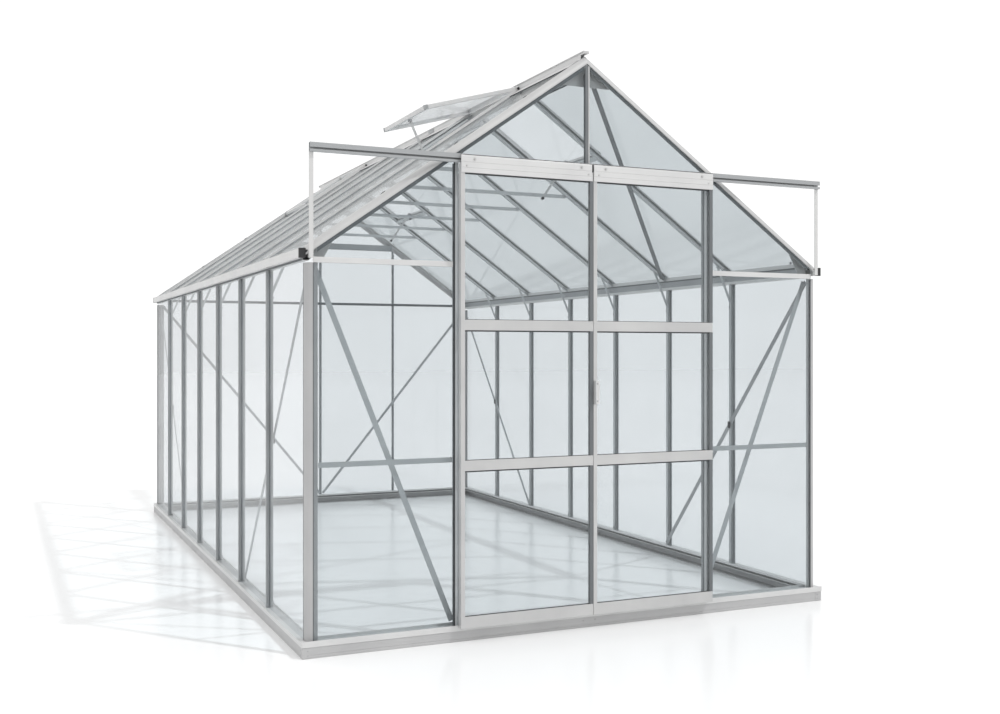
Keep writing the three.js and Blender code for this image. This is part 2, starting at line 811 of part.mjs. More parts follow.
// Drawn for the right door, from its meeting edge outwards; the left door turns it end for end.
function doorFrame(side) {
  const stile = (x, inwards) =>
    prism(stileOutline(inwards > 0 ? WIDE_STILE : NARROW_STILE), DOOR_TOP - DOOR_BOTTOM, {
      a: [inwards, 0, 0],
      b: [0, 1, 0],
      c: [0, 0, 1],
      at: [x, 0, DOOR_BOTTOM],
    });
  const pieces = [stile(0, side), stile(side * DOOR_WIDTH, -side)];
  for (const [outline, z] of RAILS) {
    pieces.push(
      prism(outline, DOOR_WIDTH - 2, {
        a: [0, 0, 1],
        b: [0, 1, 0],
        c: [side, 0, 0],
        at: [side, 0, z],
      }),
    );
  }
  for (const start of SHOE_POSITIONS) {
    const x0 = side < 0 ? -start - SHOE_WIDTH : start;
    const x1 = x0 + SHOE_WIDTH;
    const reach = DOOR_FRONT - 12;
    pieces.push(box(x0, DOOR_DEPTH - 3, DOOR_BOTTOM + 1, x1, DOOR_DEPTH, 82));
    pieces.push(box(x0, DOOR_DEPTH - 1, 78, x1, reach, 82));
    pieces.push(box(x0, reach - 3.5, SILL_TOP + 2, x1, reach, 82));
  }
  return join(pieces);
}

function doorGlass(side) {
  const edge = 5;
  const x0 = side < 0 ? -DOOR_WIDTH + edge : edge;
  return box(x0, 9, DOOR_BOTTOM + 4, x0 + DOOR_WIDTH - 2 * edge, 13, DOOR_TOP - 4);
}

const AXLE_Z = TRACK_BOTTOM + WALL + ROLLER_RADIUS + 0.2;
const ROLLER_FACE = 19; // the rollers' front faces behind the doors' front face
const AXLE_TIP = ROLLER_FACE + ROLLER_WIDTH + 0.5;

// The hanger is the panel across the door's top that carries the two roller axles.
function doorHanger(side) {
  const x0 = side < 0 ? -DOOR_WIDTH : 0;
  const panel = box(x0, -4, PANEL_TOP - PANEL_HEIGHT, x0 + DOOR_WIDTH, -0.4, PANEL_TOP);
  const axles = AXLE_POSITIONS.map((x) =>
    prism(circle(side * x, AXLE_Z, AXLE_RADIUS, 24), AXLE_TIP + 2, {
      a: [1, 0, 0],
      b: [0, 0, 1],
      c: [0, 1, 0],
      at: [0, -2, 0],
    }),
  );
  return join([panel, ...axles]);
}

function roller() {
  return prism(circle(0, 0, ROLLER_RADIUS, 24), ROLLER_WIDTH, {
    a: [1, 0, 0],
    b: [0, 0, 1],
    c: [0, 1, 0],
    holes: [circle(0, 0, AXLE_RADIUS + 0.1, 24)],
  });
}

for (const [place, side] of [
  ["left", -1],
  ["right", 1],
]) {
  const door = new THREE.Group();
  door.position.set(side * DOOR_GAP, -DOOR_FRONT, 0);
  walls.front.add(door);
  node("door_frame_" + place, doorFrame(side), BRIGHT, door);
  node("door_glass_" + place, doorGlass(side), GLAZING, door);
  node("door_hanger_" + place, doorHanger(side), BRIGHT, door);
  for (const [end, x] of [
    ["inner", AXLE_POSITIONS[0]],
    ["outer", AXLE_POSITIONS[1]],
  ]) {
    const wheel = node("door_roller_" + place + "_" + end, roller(), BLACK, door);
    wheel.position.set(side * x, ROLLER_FACE, AXLE_Z);
  }
  if (side > 0) {
    const handle = node("door_handle", doorHandle(), BRIGHT, door);
    handle.position.set(0, -GAP, 993);
  }
}

// An angle pull with a rounded lip, screwed to the right door's meeting stile.
function doorHandle() {
  const lip = arc(-0.2 + 1.5, -HANDLE_REACH + 1.8, 1.5, Math.PI, 2 * Math.PI, 6);
  const outline = [[-0.2, 0], ...lip, [2.8, -3], [28, -3], [28, 0]];
  return prism(outline, 103, UPRIGHT);
}

// ---- Roof vents ----
const SASH_RAIL = 18;
const SASH_BOTTOM = -2.3;
const SASH_TOP = 17.7;
const STAY_PIN = 2.5;
const STAY_HALF_WIDTH = 6;
const STAY_THICK = 3;
const STAY_HOLES = 5;

// The sash lies in its own X (down the slope) and Y, with the hinge line at the origin.
function ventSash() {
  const half = VENT_WIDTH / 2;
  const slab = (x0, y0, x1, y1, z0 = SASH_BOTTOM, z1 = SASH_TOP) => box(x0, y0, z0, x1, y1, z1);
  const lug = box(STAY_PIVOT - 9, 2, -STAY_DROP - 6, VENT_OPENING - 1, 6, 3);
  const pin = prism(circle(STAY_PIVOT, -STAY_DROP, STAY_PIN, 24), 5.6, {
    a: [1, 0, 0],
    b: [0, 0, 1],
    c: [0, 1, 0],
    at: [0, -2.6, 0],
  });
  return join([
    slab(-2, -half, VENT_LENGTH, -half + SASH_RAIL),
    slab(-2, half - SASH_RAIL, VENT_LENGTH, half),
    slab(-2, -half, SASH_RAIL - 2, half),
    slab(VENT_LENGTH - 20, -half, VENT_LENGTH, half),
    slab(SASH_RAIL - 3, -half + 1, VENT_LENGTH - 19, half - 1, 2, 5),
    lug,
    pin,
  ]);
}

// A perforated flat bar that hangs from the sash's lug.
function ventStay() {
  const end = -STAY_LENGTH;
  const outline = [
    ...arc(0, 0, STAY_HALF_WIDTH, 0, Math.PI, 8),
    [-STAY_HALF_WIDTH, end + 8],
    ...arc(0, end, 9, 0.75 * Math.PI, 2.25 * Math.PI, 12),
    [STAY_HALF_WIDTH, end + 8],
  ];
  const holes = [circle(0, 0, STAY_PIN + 0.1, 24)];
  for (let i = 0; i < STAY_HOLES; i++) {
    holes.push(circle(0, -40 * (i + 1), 2.5, 8));
  }
  return prism(outline, STAY_THICK, {
    a: [1, 0, 0],
    b: [0, 0, 1],
    c: [0, 1, 0],
    at: [0, -STAY_THICK / 2, 0],
    holes,
  });
}

const VENTS = [
  ["left_front", -1, VENT_BAYS[0], OPEN_VENT_ANGLE],
  ["left_rear", -1, VENT_BAYS[1], 0],
  ["right_front", 1, VENT_BAYS[0], 0],
  ["right_rear", 1, VENT_BAYS[1], 0],
];
for (const [place, side, bay, opened] of VENTS) {
  const [x, z] = slopePoint(side, 0, VENT_HINGE_RISE);
  const mount = new THREE.Group();
  mount.position.set(x, ventY(bay), z);
  mount.rotation.z = side < 0 ? Math.PI : 0;
  body.add(mount);
  const sash = node("vent_" + place, ventSash(), BRIGHT, mount);
  sash.rotation.y = ROOF_ANGLE - opened;
  const stay = node("vent_stay_" + place, ventStay(), MILL, sash);
  stay.position.set(STAY_PIVOT, 0, -STAY_DROP);
  stay.rotation.y = opened / 2;
}

export default greenhouse;
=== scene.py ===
"""Looks of a walk-in aluminium greenhouse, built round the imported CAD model. Metres, +Z up."""
import math

import bmesh
import bpy
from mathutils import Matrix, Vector


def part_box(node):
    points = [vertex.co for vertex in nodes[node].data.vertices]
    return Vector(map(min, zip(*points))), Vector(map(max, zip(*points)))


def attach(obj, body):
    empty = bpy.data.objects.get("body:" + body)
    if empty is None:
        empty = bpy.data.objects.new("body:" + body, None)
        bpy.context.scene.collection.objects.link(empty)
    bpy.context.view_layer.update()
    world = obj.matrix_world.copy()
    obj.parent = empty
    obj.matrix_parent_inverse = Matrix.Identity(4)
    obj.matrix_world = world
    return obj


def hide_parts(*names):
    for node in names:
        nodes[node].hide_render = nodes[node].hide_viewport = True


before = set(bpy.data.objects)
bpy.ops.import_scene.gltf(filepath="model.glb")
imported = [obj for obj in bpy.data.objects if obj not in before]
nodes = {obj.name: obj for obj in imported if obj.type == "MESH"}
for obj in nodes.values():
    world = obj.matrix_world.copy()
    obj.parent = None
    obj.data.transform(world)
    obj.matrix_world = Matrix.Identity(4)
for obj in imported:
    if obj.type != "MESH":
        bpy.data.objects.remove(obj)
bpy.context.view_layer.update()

# ---- Places and sizes, from the CAD nodes ----
BAY = 0.62
BAR_HALF = 0.012
PANE_HALF = BAY / 2 - 0.007
PANE_OUT = 0.0012
PANE_IN = 0.0052
post_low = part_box("corner_post_front_left")[0]
far_post_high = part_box("corner_post_rear_right")[1]
HALF_WIDTH = -post_low.x
FRONT_Y = post_low.y
REAR_Y = far_post_high.y
MID_Y = (FRONT_Y + REAR_Y) / 2
HALF_LENGTH = (REAR_Y - FRONT_Y) / 2
EAVE_Z = 1.583
BEAM_BOTTOM = 1.593
SILL_TOP = 0.063
PANE_FOOT = SILL_TOP + 0.001
WALL_PANE_EDGE = 0.032
SLOPE = math.radians(35)
TAN = math.tan(SLOPE)
COS = math.cos(SLOPE)
SIN = math.sin(SLOPE)
APEX_Z = 2.54
HINGE_FOOT = 0.014
VERGE_CORNER_Z = APEX_Z + 0.006 / COS
GABLE_GLASS_APEX = VERGE_CORNER_Z - 0.031 / COS
VENT_BAYS = (1, 5)
VENT_LINES = [line for bay in VENT_BAYS for line in (bay, bay + 1)]
VENT_CLEAR = 0.532
WALL_LINES = [(i - 3.5) * BAY for i in range(8)]
GABLE_LINES = [(i - 2) * BAY for i in range(5)]


class Face:
    """A wall or a roof slope: u runs along it, w up it or down it, and d is the depth."""

    def __init__(self, origin, u, w, d):
        self.origin, self.u, self.w, self.d = (Vector(x) for x in (origin, u, w, d))

    def at(self, u, w, d):
        return self.origin + self.u * u + self.w * w + self.d * d


FACES = {
    "front": Face((0, FRONT_Y, 0), (1, 0, 0), (0, 0, 1), (0, 1, 0)),
    "right": Face((HALF_WIDTH, MID_Y, 0), (0, 1, 0), (0, 0, 1), (-1, 0, 0)),
    "rear": Face((0, REAR_Y, 0), (-1, 0, 0), (0, 0, 1), (0, -1, 0)),
    "left": Face((-HALF_WIDTH, MID_Y, 0), (0, -1, 0), (0, 0, 1), (1, 0, 0)),
}
# On a slope u is the place along the ridge, w the way down from the vents' hinge,
# and d the height above the bars.
for side_name, side in (("left", -1), ("right", 1)):
    FACES["roof_" + side_name] = Face(
        (side * HINGE_FOOT, MID_Y, APEX_Z - TAN * HINGE_FOOT),
        (0, 1, 0),
        (side * COS, 0, -SIN),
        (side * SIN, 0, COS),
    )
DOORS = {
    "left": Face((-0.001, FRONT_Y - 0.055, 0), (-1, 0, 0), (0, 0, 1), (0, 1, 0)),
    "right": Face((0.001, FRONT_Y - 0.055, 0), (1, 0, 0), (0, 0, 1), (0, 1, 0)),
}


def wall_half(name):
    """Half the length of a wall."""
    return HALF_WIDTH if name in ("front", "rear") else HALF_LENGTH


def roof_face(side):
    return FACES["roof_left" if side < 0 else "roof_right"]


def gable_glass_z(x):
    """Where the verge covers the edge of the gable glass."""
    return GABLE_GLASS_APEX - TAN * abs(x)


# ---- Materials ----
ROUGHNESS_SPREAD = 0.06


def new_material(name):
    material = bpy.data.materials.new(name)
    material.use_nodes = True
    tree = material.node_tree
    tree.nodes.clear()
    return material, tree, tree.nodes.new("ShaderNodeOutputMaterial")


def noise(tree, scale, detail=2.0, stretch=(1, 1, 1)):
    place = tree.nodes.new("ShaderNodeTexCoord")
    mapping = tree.nodes.new("ShaderNodeMapping")
    mapping.inputs["Scale"].default_value = stretch
    texture = tree.nodes.new("ShaderNodeTexNoise")
    texture.inputs["Scale"].default_value = scale
    texture.inputs["Detail"].default_value = detail
    tree.links.new(place.outputs["Object"], mapping.inputs["Vector"])
    tree.links.new(mapping.outputs["Vector"], texture.inputs["Vector"])
    return texture.outputs["Fac"]


def between(tree, factor, low, high):
    ramp = tree.nodes.new("ShaderNodeMapRange")
    ramp.inputs["To Min"].default_value = low
    ramp.inputs["To Max"].default_value = high
    ramp.inputs["From Min"].default_value = 0.3
    ramp.inputs["From Max"].default_value = 0.7
    tree.links.new(factor, ramp.inputs["Value"])
    return ramp.outputs["Result"]


def mixed(tree, factor, low, high):
    mix = tree.nodes.new("ShaderNodeMix")
    mix.data_type = "RGBA"
    mix.inputs["A"].default_value = (*low, 1)
    mix.inputs["B"].default_value = (*high, 1)
    tree.links.new(factor, mix.inputs["Factor"])
    return mix.outputs["Result"]


def aluminium(name, low, high, roughness, metallic=0.55, grain=(1, 1, 1)):
    """Extruded aluminium: soft mottling, fine die lines and a roughness that varies with them."""
    material, tree, output = new_material(name)
    shader = tree.nodes.new("ShaderNodeBsdfPrincipled")
    shader.inputs["Metallic"].default_value = metallic
    mottle = between(tree, noise(tree, 5, 3), 0, 1)
    lines = noise(tree, 260, 1, grain)
    tree.links.new(mixed(tree, mottle, low, high), shader.inputs["Base Color"])
    polish = between(tree, lines, roughness - ROUGHNESS_SPREAD, roughness + ROUGHNESS_SPREAD)
    tree.links.new(polish, shader.inputs["Roughness"])
    bump = tree.nodes.new("ShaderNodeBump")
    bump.inputs["Strength"].default_value = 0.12
    bump.inputs["Distance"].default_value = 0.0004
    tree.links.new(lines, bump.inputs["Height"])
    tree.links.new(bump.outputs["Normal"], shader.inputs["Normal"])
    tree.links.new(shader.outputs["BSDF"], output.inputs["Surface"])
    return material


def two_tone(name, height, above, below, roughness):
    """Aluminium whose tone changes at a height: the mill finish track and its satin finish struts."""
    material, tree, output = new_material(name)
    shader = tree.nodes.new("ShaderNodeBsdfPrincipled")
    shader.inputs["Metallic"].default_value = 0.35
    place = tree.nodes.new("ShaderNodeTexCoord")
    split = tree.nodes.new("ShaderNodeSeparateXYZ")
    tree.links.new(place.outputs["Object"], split.inputs["Vector"])
    step = tree.nodes.new("ShaderNodeMath")
    step.operation = "LESS_THAN"
    step.inputs[1].default_value = height
    tree.links.new(split.outputs["Z"], step.inputs[0])
    tree.links.new(mixed(tree, step.outputs["Value"], above, below), shader.inputs["Base Color"])
    grain = between(tree, noise(tree, 200, 1), roughness - ROUGHNESS_SPREAD, roughness + ROUGHNESS_SPREAD)
    tree.links.new(grain, shader.inputs["Roughness"])
    tree.links.new(shader.outputs["BSDF"], output.inputs["Surface"])
    return material


def moulded(name, low, high, roughness):
    """Rubber or plastic with a faint grain."""
    material, tree, output = new_material(name)
    shader = tree.nodes.new("ShaderNodeBsdfPrincipled")
    grain = noise(tree, 300, 2)
    tree.links.new(mixed(tree, grain, low, high), shader.inputs["Base Color"])
    tree.links.new(between(tree, grain, roughness - 0.1, roughness + 0.1), shader.inputs["Roughness"])
    tree.links.new(shader.outputs["BSDF"], output.inputs["Surface"])
    return material


def clear_glass(name, tint):
    """A pane: tinted and see-through, with the mirror of polished glass and a trace of haze."""
    material, tree, output = new_material(name)
    through = tree.nodes.new("ShaderNodeBsdfTransparent")
    haze = between(tree, noise(tree, 1.3, 3), 0, 1)
    cleaner = tuple(min(1, c * 1.012) for c in tint)
    tree.links.new(mixed(tree, haze, tint, cleaner), through.inputs["Color"])
    mirror = tree.nodes.new("ShaderNodeBsdfGlossy")
    mirror.inputs["Roughness"].default_value = 0.08
    facing = tree.nodes.new("ShaderNodeLayerWeight")
    power = tree.nodes.new("ShaderNodeMath")
    power.operation = "POWER"
    power.inputs[1].default_value = 5
    tree.links.new(facing.outputs["Facing"], power.inputs[0])
    strength = tree.nodes.new("ShaderNodeMapRange")
    strength.inputs["To Min"].default_value = 0.03
    strength.inputs["To Max"].default_value = 0.55
    tree.links.new(power.outputs["Value"], strength.inputs["Value"])
    mix = tree.nodes.new("ShaderNodeMixShader")
    tree.links.new(strength.outputs["Result"], mix.inputs["Fac"])
    tree.links.new(through.outputs["BSDF"], mix.inputs[1])
    tree.links.new(mirror.outputs["BSDF"], mix.inputs[2])
    # Sunlight passes with less tint than the view does, so the bars' shadows stand out on the floor.
    clear = tree.nodes.new("ShaderNodeBsdfTransparent")
    clear.inputs["Color"].default_value = (0.955, 0.985, 0.995, 1)
    path = tree.nodes.new("ShaderNodeLightPath")
    cast = tree.nodes.new("ShaderNodeMixShader")
    tree.links.new(path.outputs["Is Shadow Ray"], cast.inputs["Fac"])
    tree.links.new(mix.outputs["Shader"], cast.inputs[1])
    tree.links.new(clear.outputs["BSDF"], cast.inputs[2])
    tree.links.new(cast.outputs["Shader"], output.inputs["Surface"])
    return material


UPRIGHT_GRAIN = (1, 1, 0.02)
LEVEL_GRAIN = (0.02, 0.02, 1)
BRIGHT = aluminium("satin aluminium", (0.50, 0.50, 0.50), (0.56, 0.56, 0.555), 0.42, 0.3, UPRIGHT_GRAIN)
RAIL = aluminium("satin aluminium rails", (0.60, 0.60, 0.60), (0.66, 0.66, 0.655), 0.42, 0.25, LEVEL_GRAIN)
POST = aluminium("corner post aluminium", (0.42, 0.42, 0.425), (0.47, 0.47, 0.47), 0.4, 0.45, UPRIGHT_GRAIN)
MILL = aluminium("mill aluminium", (0.34, 0.352, 0.36), (0.40, 0.412, 0.42), 0.45, 0.4, UPRIGHT_GRAIN)
BAR = aluminium(
    "glazing bar aluminium", (0.46, 0.475, 0.485), (0.52, 0.535, 0.54), 0.45, 0.3, UPRIGHT_GRAIN
)
# A darker copy of mill aluminium with painted shade, for parts that stand inside or in shade.
DARK_MILL = aluminium(
    "shaded mill aluminium", (0.15, 0.16, 0.167), (0.20, 0.21, 0.217), 0.5, 0.45, UPRIGHT_GRAIN
)
BASE = aluminium("base rail aluminium", (0.45, 0.45, 0.455), (0.50, 0.50, 0.50), 0.5, 0.3, LEVEL_GRAIN)
# Pale aluminium for strips of painted light on the roof bars' webs inside, where the bars fall in shade.
PALE = aluminium("pale aluminium", (0.80, 0.81, 0.815), (0.86, 0.87, 0.87), 0.5, 0.1, UPRIGHT_GRAIN)
TRACK = two_tone("track aluminium", 2.0205, (0.37, 0.382, 0.39), (0.62, 0.62, 0.615), 0.45)
STEEL = aluminium("zinc plated fixings", (0.34, 0.34, 0.35), (0.46, 0.46, 0.47), 0.35, 0.7)
GLASS = clear_glass("clear glass", (0.943, 0.953, 0.960))
FRONT_GLASS = clear_glass("tinted clear glass", (0.855, 0.872, 0.880))
BLACK = moulded("black plastic", (0.012, 0.012, 0.013), (0.03, 0.03, 0.032), 0.5)
RUBBER = moulded("glazing rubber", (0.04, 0.042, 0.045), (0.065, 0.068, 0.072), 0.65)
# Slate for seals and for strips of painted shade.
SLATE = moulded("slate seal and painted shade", (0.115, 0.125, 0.132), (0.15, 0.16, 0.168), 0.6)


def dress(names, material):
    for name in names:
        node = nodes[name]
        node.data.materials.clear()
        node.data.materials.append(material)


SIDES = ("front", "right", "rear", "left")
dress(["base_" + s for s in SIDES], BASE)
dress(["sill_" + s for s in SIDES], RAIL)
dress([n for n in nodes if n.startswith("corner_post")], POST)
dress(["eave_gutter_left", "eave_gutter_right", "ridge"], RAIL)
dress(["gable_arch_front", "gable_arch_rear"], BRIGHT)
dress(["front_eave_bar_left", "front_eave_bar_right"], RAIL)
dress([n for n in nodes if n.startswith(("rear_post", "door_jamb"))], MILL)
dress([n for n in nodes if n.startswith("portal_frame")], BAR)
dress(["door_header", "rear_cross_bar"], MILL)
dress(["door_track"], TRACK)
dress(["king_post", "rear_eave_bar"], DARK_MILL)
dress(["door_frame_left", "door_frame_right"], BRIGHT)
dress(["door_handle"], RAIL)
dress([n for n in nodes if n.startswith("vent_stay")], BRIGHT)
dress([n for n in nodes if n.startswith("door_roller")], BLACK)


# ---- Mesh building ----
class Build:
    """Collects solids in one mesh."""

    def __init__(self):
        self.mesh = bmesh.new()

    def prism(self, low, high):
        """A solid between two outlines with the same number of points."""
        bottom = [self.mesh.verts.new(p) for p in low]
        top = [self.mesh.verts.new(p) for p in high]
        count = len(low)
        self.mesh.faces.new(bottom)
        self.mesh.faces.new(top)
        for i in range(count):
            j = (i + 1) % count
            self.mesh.faces.new((bottom[i], bottom[j], top[j], top[i]))
        return self

    def slab(self, face, outline, d0, d1):
        """An outline in (u, w) on a face, between two depths."""
        return self.prism([face.at(u, w, d0) for u, w in outline], [face.at(u, w, d1) for u, w in outline])

    def block(self, face, u0, u1, w0, w1, d0, d1):
        return self.slab(face, [(u0, w0), (u1, w0), (u1, w1), (u0, w1)], d0, d1)

    def band(self, face, u, half, w0, w1, d0, d1):
        """A block centred on u."""
        return self.block(face, u - half, u + half, w0, w1, d0, d1)

    def side_block(self, face, side, near, far, w0, w1, d0, d1):
        """A block from near to far of the middle, on the side given as -1 or 1."""
        u0, u1 = sorted((side * near, side * far))
        return self.block(face, u0, u1, w0, w1, d0, d1)

    def strip(self, face, start, end, width, d0, d1):
        """A flat bar on a face from start to end, both (u, w)."""
        a, b = Vector(start), Vector(end)
        across = (b - a).normalized().orthogonal() * (width / 2)
        outline = [a + across, b + across, b - across, a - across]
        return self.slab(face, [(p.x, p.y) for p in outline], d0, d1)

    def ring(self, at, axis, radius, height, sides, taper=1.0):
        """A short round or hexagonal solid standing on at, with its top narrowed by taper."""
        axis = Vector(axis).normalized()
        first = axis.orthogonal().normalized()
        second = axis.cross(first)

        def loop(offset, r):
            steps = [2 * math.pi * i / sides for i in range(sides)]
            return [at + axis * offset + (first * math.cos(t) + second * math.sin(t)) * r for t in steps]

        self.prism(loop(0, radius), loop(height, radius * taper))
        return self

    def bolt(self, at, axis, size=0.0055):
        """A washer with a hexagon nut and the bolt's end."""
        axis = Vector(axis).normalized()
        self.ring(at, axis, size * 1.25, size * 0.3, 16, 0.96)
        self.ring(at + axis * size * 0.3, axis, size, size * 0.8, 6, 0.94)
        self.ring(at + axis * size * 1.1, axis, size * 0.5, size * 0.35, 10, 0.8)
        return self

    def screw(self, at, axis, size=0.004):
        """A low domed head."""
        axis = Vector(axis).normalized()
        self.ring(at, axis, size, size * 0.25, 16, 0.95)
        self.ring(at + axis * size * 0.25, axis, size * 0.95, size * 0.25, 16, 0.6)
        return self

    def finish(self, name, material, body="house", bevel=0.0, replaces=None, segments=1):
        bmesh.ops.recalc_face_normals(self.mesh, faces=self.mesh.faces)
        data = bpy.data.meshes.new(name)
        self.mesh.to_mesh(data)
        self.mesh.free()
        data.materials.append(material)
        piece = bpy.data.objects.new(name, data)
        bpy.context.scene.collection.objects.link(piece)
        if bevel:
            modifier = piece.modifiers.new("edges", "BEVEL")
            modifier.width = bevel
            modifier.segments = segments
            modifier.limit_method = "ANGLE"
            modifier.angle_limit = math.radians(30)
        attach(piece, body)
        if replaces:
            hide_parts(*replaces)
        return piece


# ---- Panes ----
def wall_bays(lines, edge):
    """The (start, end) of each pane along a wall whose bars stand on lines."""
    bays = []
    for left, right in zip(lines, lines[1:]):
        middle = (left + right) / 2
        low = -edge if left == lines[0] else middle - PANE_HALF
        high = edge if right == lines[-1] else middle + PANE_HALF
        bays.append((low, high))
    return bays


for name in ("left", "right"):
    panes = Build()
    for low, high in wall_bays(WALL_LINES, HALF_LENGTH - WALL_PANE_EDGE):
        panes.block(FACES[name], low, high, PANE_FOOT, BEAM_BOTTOM - 0.0005, PANE_OUT, PANE_IN)
    panes.finish("panes_" + name, GLASS, replaces=["glazing_" + name])

GABLE_EDGE = HALF_WIDTH - WALL_PANE_EDGE
FRONT_SPLIT_Z = EAVE_Z + 0.0115
REAR_SPLIT_Z = EAVE_Z + 0.032
HEADER_TOP = 2.06
DOORWAY_HALF = 0.626
SPLIT_GAP = 0.001


def gable_pane(face, u0, u1, low, high=None):
    """A pane under the verge from u0 to u1, cut off at high where that is given."""
    tops = [(u, gable_glass_z(u)) for u in (u1, u0)]
    if high:
        reach = (GABLE_GLASS_APEX - high) / TAN
        tops = [(u, min(high, z)) for u, z in tops]
        if min(abs(u0), abs(u1)) < reach < max(abs(u0), abs(u1)):
            tops.insert(1, (math.copysign(reach, u0 + u1), high))
    return face, [(u0, low), (u1, low), *tops]


rear = Build()
for low, high in wall_bays(GABLE_LINES, GABLE_EDGE):
    rear.block(FACES["rear"], low, high, PANE_FOOT, REAR_SPLIT_Z - SPLIT_GAP, PANE_OUT, PANE_IN)
    rear.slab(*gable_pane(FACES["rear"], low, high, REAR_SPLIT_Z + SPLIT_GAP), PANE_OUT, PANE_IN)
rear.finish("panes_rear", GLASS, replaces=["glazing_rear"])

front = Build()
for side in (-1, 1):
    inner, outer = sorted((side * DOORWAY_HALF, side * GABLE_EDGE))
    front.block(FACES["front"], inner, outer, PANE_FOOT, FRONT_SPLIT_Z - SPLIT_GAP, PANE_OUT, PANE_IN)
    upper = gable_pane(FACES["front"], inner, outer, FRONT_SPLIT_Z + SPLIT_GAP, HEADER_TOP)
    front.slab(*upper, PANE_OUT, PANE_IN)
    foot = HEADER_TOP + 0.002
    reach = (GABLE_GLASS_APEX - foot) / TAN
    middle = side * 0.002
    front.slab(
        FACES["front"],
        [(middle, foot), (side * reach, foot), (middle, gable_glass_z(middle))],
        PANE_OUT,
        PANE_IN,
    )
front.finish("panes_front", FRONT_GLASS, replaces=["glazing_front"])

ROOF_END = HALF_LENGTH - 0.036
ROOF_FOOT = (HALF_WIDTH + 0.012 - HINGE_FOOT) / COS
ROOF_GLASS_LOW = 0.0005
ROOF_GLASS_HIGH = 0.0045
GLASS_BELOW_VENT = 0.502
GLASS_BESIDE_VENT = -0.002
for name in ("left", "right"):
    slope = FACES["roof_" + name]
    panes = Build()
    for bay, (low, high) in enumerate(wall_bays(WALL_LINES, ROOF_END)):
        top = GLASS_BELOW_VENT if bay in VENT_BAYS else GLASS_BESIDE_VENT
        panes.block(slope, low, high, top, ROOF_FOOT, ROOF_GLASS_LOW, ROOF_GLASS_HIGH)
    panes.finish("roof_panes_" + name, FRONT_GLASS, replaces=["roof_glazing_" + name])

# ---- Caps over the bars, outside the panes ----
BEAD_HALF = 0.0014
ROOF_BEAD_HALF = 0.0012
CAP_BACK = 0.0046
CAP_FRONT = 0.0054
ROOF_CAP_HALF = 0.0115
ROOF_CAP_TOP = 0.004
FIN_HALF = 0.0014
FIN_PLACES = (-0.0098, 0.0098)
PAINTED_LIGHT_HALF = 0.0007
PAINTED_LIGHT_PLACES = (-0.0029, 0.0029)
for name in ("left", "right"):
    caps = Build()
    beads = Build()
    top = BEAM_BOTTOM - 0.001
    for u in WALL_LINES[1:-1]:
        caps.band(FACES[name], u, BAR_HALF, PANE_FOOT, top, -0.003, 0.001)
        caps.band(FACES[name], u, 0.007, PANE_FOOT, top, -0.009, -0.0028)
        for edge in (-0.0139, 0.0139):
            beads.band(FACES[name], u + edge, BEAD_HALF, PANE_FOOT + 0.01, top, 0.0053, 0.008)
    caps.finish("bar_caps_" + name, MILL, bevel=0.0006)
    beads.finish("glazing_beads_" + name, SLATE)

    # Each roof bar has a cap with two fins and painted shade in slate between them, and pale strips of
    # painted light on its web inside.
    # Beside a vent the two fins start below the sash, and a narrow one runs up the bar's middle past it.
    slope = FACES["roof_" + name]
    caps = Build()
    beads = Build()
    painted_strips = Build()
    foot = ROOF_FOOT - 0.004
    fin_foot = ROOF_FOOT - 0.0305
    for line, u in list(enumerate(WALL_LINES))[1:-1]:
        caps.band(slope, u, ROOF_CAP_HALF, ROOF_CAP_TOP, foot, CAP_BACK, CAP_FRONT)
        caps.band(slope, u, ROOF_CAP_HALF, ROOF_FOOT - 0.03, ROOF_FOOT - 0.0045, 0.0053, 0.0155)
        fin_top = ROOF_CAP_TOP
        if line in VENT_LINES:
            fin_top = VENT_CLEAR
            caps.band(slope, u, 0.0022, ROOF_CAP_TOP, VENT_CLEAR - 0.0005, 0.0053, 0.017)
        for fin in FIN_PLACES:
            caps.band(slope, u + fin, FIN_HALF, fin_top, fin_foot, 0.0053, 0.0145)
        # Slate in the groove between the fins is painted shade.
        beads.band(slope, u, 0.0045, fin_top + 0.001, ROOF_FOOT - 0.031, 0.0054, 0.0105)
        # Pale strips of painted light on both sides of the web.
        for web in PAINTED_LIGHT_PLACES:
            painted_strips.band(slope, u + web, PAINTED_LIGHT_HALF, 0.03, ROOF_FOOT - 0.09, -0.0135, -0.0005)
        for edge in (-0.0128, 0.0128):
            beads.band(slope, u + edge, ROOF_BEAD_HALF, 0.006, foot - 0.002, CAP_BACK, 0.0053)
        # Slate strips of painted shade along the bar's edges inside.
        for edge in (-0.0135, 0.0135):
            beads.band(slope, u + edge, ROOF_BEAD_HALF, 0.006, ROOF_FOOT - 0.07, -0.0015, 0.0004)
    caps.finish("roof_bar_caps_" + name, RAIL)
    beads.finish("roof_beads_and_shade_" + name, SLATE)
    painted_strips.finish("roof_bar_painted_light_" + name, PALE)

caps = Build()
for u in GABLE_LINES[1:-1]:
    tops = [(edge, gable_glass_z(edge) - 0.001) for edge in (u + 0.0085, u - 0.0085)]
    caps.slab(FACES["rear"], [(u - 0.0085, PANE_FOOT), (u + 0.0085, PANE_FOOT), *tops], -0.0022, 0.001)
caps.finish("bar_caps_rear", MILL, bevel=0.0006)
KING_FOOT = HEADER_TOP + 0.004
KING_TOP = gable_glass_z(0.0125) - 0.001
caps = Build()
caps.block(FACES["front"], 0.0045, 0.0105, KING_FOOT, KING_TOP, -0.0022, 0.001)
caps.finish("king_post_cap", BRIGHT, bevel=0.0006)
# A dark strip of painted shade down the king post's left side.
caps = Build()
caps.block(FACES["front"], -0.0105, 0.0042, KING_FOOT, KING_TOP, -0.0008, 0.001)
caps.finish("king_post_painted_shade", DARK_MILL, bevel=0.0004)

